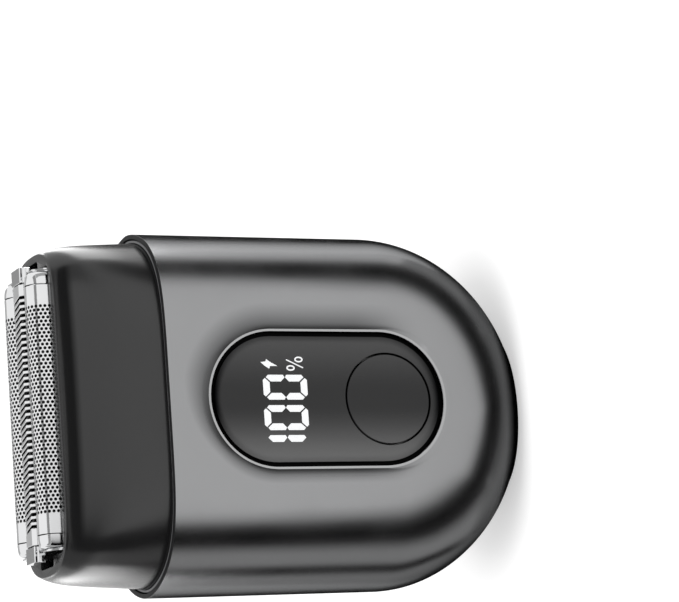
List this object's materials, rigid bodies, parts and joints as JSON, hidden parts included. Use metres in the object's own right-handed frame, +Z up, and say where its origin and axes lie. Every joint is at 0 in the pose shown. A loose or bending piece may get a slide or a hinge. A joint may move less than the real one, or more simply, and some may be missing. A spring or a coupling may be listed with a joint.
{
  "type": "electric foil shaver",
  "caption": "Compact upright foil shaver: gunmetal shell on a flat base, display panel with push button, lift-off head with arched foils and centre trimmer.",
  "frame": {"origin": "on the surface the shaver stands on, under the middle of its flat base", "axes": "+Z up towards the cutting head, -Y out of the front panel, +X to the right seen from the front"},
  "size_m": [0.06, 0.0312, 0.0849],
  "materials": {
    "shell_metal": "satin gunmetal",
    "collar_grey": "satin grey",
    "gloss_black": "gloss black",
    "display_white": "milky white light guide",
    "steel": "ground steel",
    "board_green": "solder resist",
    "black_plastic": "satin black",
    "cell_wrap": "shrink wrap over a metal can",
    "brass": "turned",
    "frame_grey": "matt grey",
    "bridge_white": "natural acetal",
    "chrome": "bright",
    "spring_steel": "drawn wire"
  },
  "bodies": {
    "body": {"body_shell": "shell_metal", "collar_ring": "collar_grey", "display_lens": "gloss_black", "display_module": "display_white", "tact_switch": "steel", "main_board": "board_green", "chassis_frame": "black_plastic", "battery_cell": "cell_wrap", "charge_board": "board_green", "usb_socket": "steel", "motor_can": "steel", "drive_deck": "black_plastic", "guide_rail_front": "spring_steel", "guide_rail_rear": "spring_steel", "deck_screw_left": "spring_steel", "deck_screw_right": "spring_steel"},
    "button": {"power_button": "gloss_black"},
    "rotor": {"motor_shaft": "spring_steel", "eccentric_cam": "brass"},
    "bridge": {"drive_bridge": "bridge_white", "cutter_spring_front_left": "spring_steel", "cutter_spring_front_right": "spring_steel", "cutter_spring_rear_left": "spring_steel", "cutter_spring_rear_right": "spring_steel", "trimmer_blade_spring_left": "spring_steel", "trimmer_blade_spring_right": "spring_steel"},
    "cutter_front": {"cutter_block_front": "steel"},
    "cutter_rear": {"cutter_block_rear": "steel"},
    "trimmer_cutter": {"trimmer_blade": "steel"},
    "head": {"head_cover": "black_plastic", "foil_frame": "frame_grey", "foil_spring_front_left": "spring_steel", "foil_spring_front_right": "spring_steel", "foil_spring_rear_left": "spring_steel", "foil_spring_rear_right": "spring_steel", "trimmer_float_spring_left": "spring_steel", "trimmer_float_spring_right": "spring_steel"},
    "foil_front": {"foil_front": "chrome", "foil_cap_front_left": "chrome", "foil_cap_front_right": "chrome"},
    "foil_rear": {"foil_rear": "chrome", "foil_cap_rear_left": "chrome", "foil_cap_rear_right": "chrome"},
    "trimmer": {"trimmer_comb": "chrome", "trimmer_cap_left": "chrome", "trimmer_cap_right": "chrome"}
  },
  "joints": [
    {"name": "power_button_press", "type": "slide", "parent": "body", "child": "button", "axis": [0, 1, 0], "range_m": [0, 0.0004], "stiffness_N_per_m": 1500, "springref_m": -0.0003},
    {"name": "motor_spin", "type": "hinge", "parent": "body", "child": "rotor", "pos_m": [0, 0, 0.0634], "axis": [0, 0, 1], "continuous": true},
    {"name": "drive_oscillate", "type": "slide", "parent": "body", "child": "bridge", "axis": [1, 0, 0], "range_m": [-0.0008, 0.0008]},
    {"name": "cutter_front_float", "type": "slide", "parent": "bridge", "child": "cutter_front", "axis": [0, 0, 1], "range_m": [-0.0012, 0], "stiffness_N_per_m": 400, "springref_m": 0.001, "deforming": ["cutter_spring_front_left", "cutter_spring_front_right"]},
    {"name": "cutter_rear_float", "type": "slide", "parent": "bridge", "child": "cutter_rear", "axis": [0, 0, 1], "range_m": [-0.0012, 0], "stiffness_N_per_m": 400, "springref_m": 0.001, "deforming": ["cutter_spring_rear_left", "cutter_spring_rear_right"]},
    {"name": "trimmer_blade_float", "type": "slide", "parent": "bridge", "child": "trimmer_cutter", "axis": [0, 0, 1], "range_m": [-0.0012, 0], "stiffness_N_per_m": 400, "springref_m": 0.001, "deforming": ["trimmer_blade_spring_left", "trimmer_blade_spring_right"]},
    {"name": "head_lift", "type": "slide", "parent": "body", "child": "head", "axis": [0, 0, 1], "range_m": [0, 0.022]},
    {"name": "foil_front_float", "type": "slide", "parent": "head", "child": "foil_front", "axis": [0, 0, 1], "range_m": [-0.0012, 0], "stiffness_N_per_m": 500, "springref_m": 0.001, "deforming": ["foil_spring_front_left", "foil_spring_front_right"]},
    {"name": "foil_rear_float", "type": "slide", "parent": "head", "child": "foil_rear", "axis": [0, 0, 1], "range_m": [-0.0012, 0], "stiffness_N_per_m": 500, "springref_m": 0.001, "deforming": ["foil_spring_rear_left", "foil_spring_rear_right"]},
    {"name": "trimmer_float", "type": "slide", "parent": "head", "child": "trimmer", "axis": [0, 0, 1], "range_m": [-0.0012, 0], "stiffness_N_per_m": 500, "springref_m": 0.001, "deforming": ["trimmer_float_spring_left", "trimmer_float_spring_right"]}
  ],
  "couplings": [
    {"joint": "cutter_front_float", "follows": "foil_front_float", "ratio": 1},
    {"joint": "cutter_rear_float", "follows": "foil_rear_float", "ratio": 1},
    {"joint": "trimmer_blade_float", "follows": "trimmer_float", "ratio": 1}
  ]
}
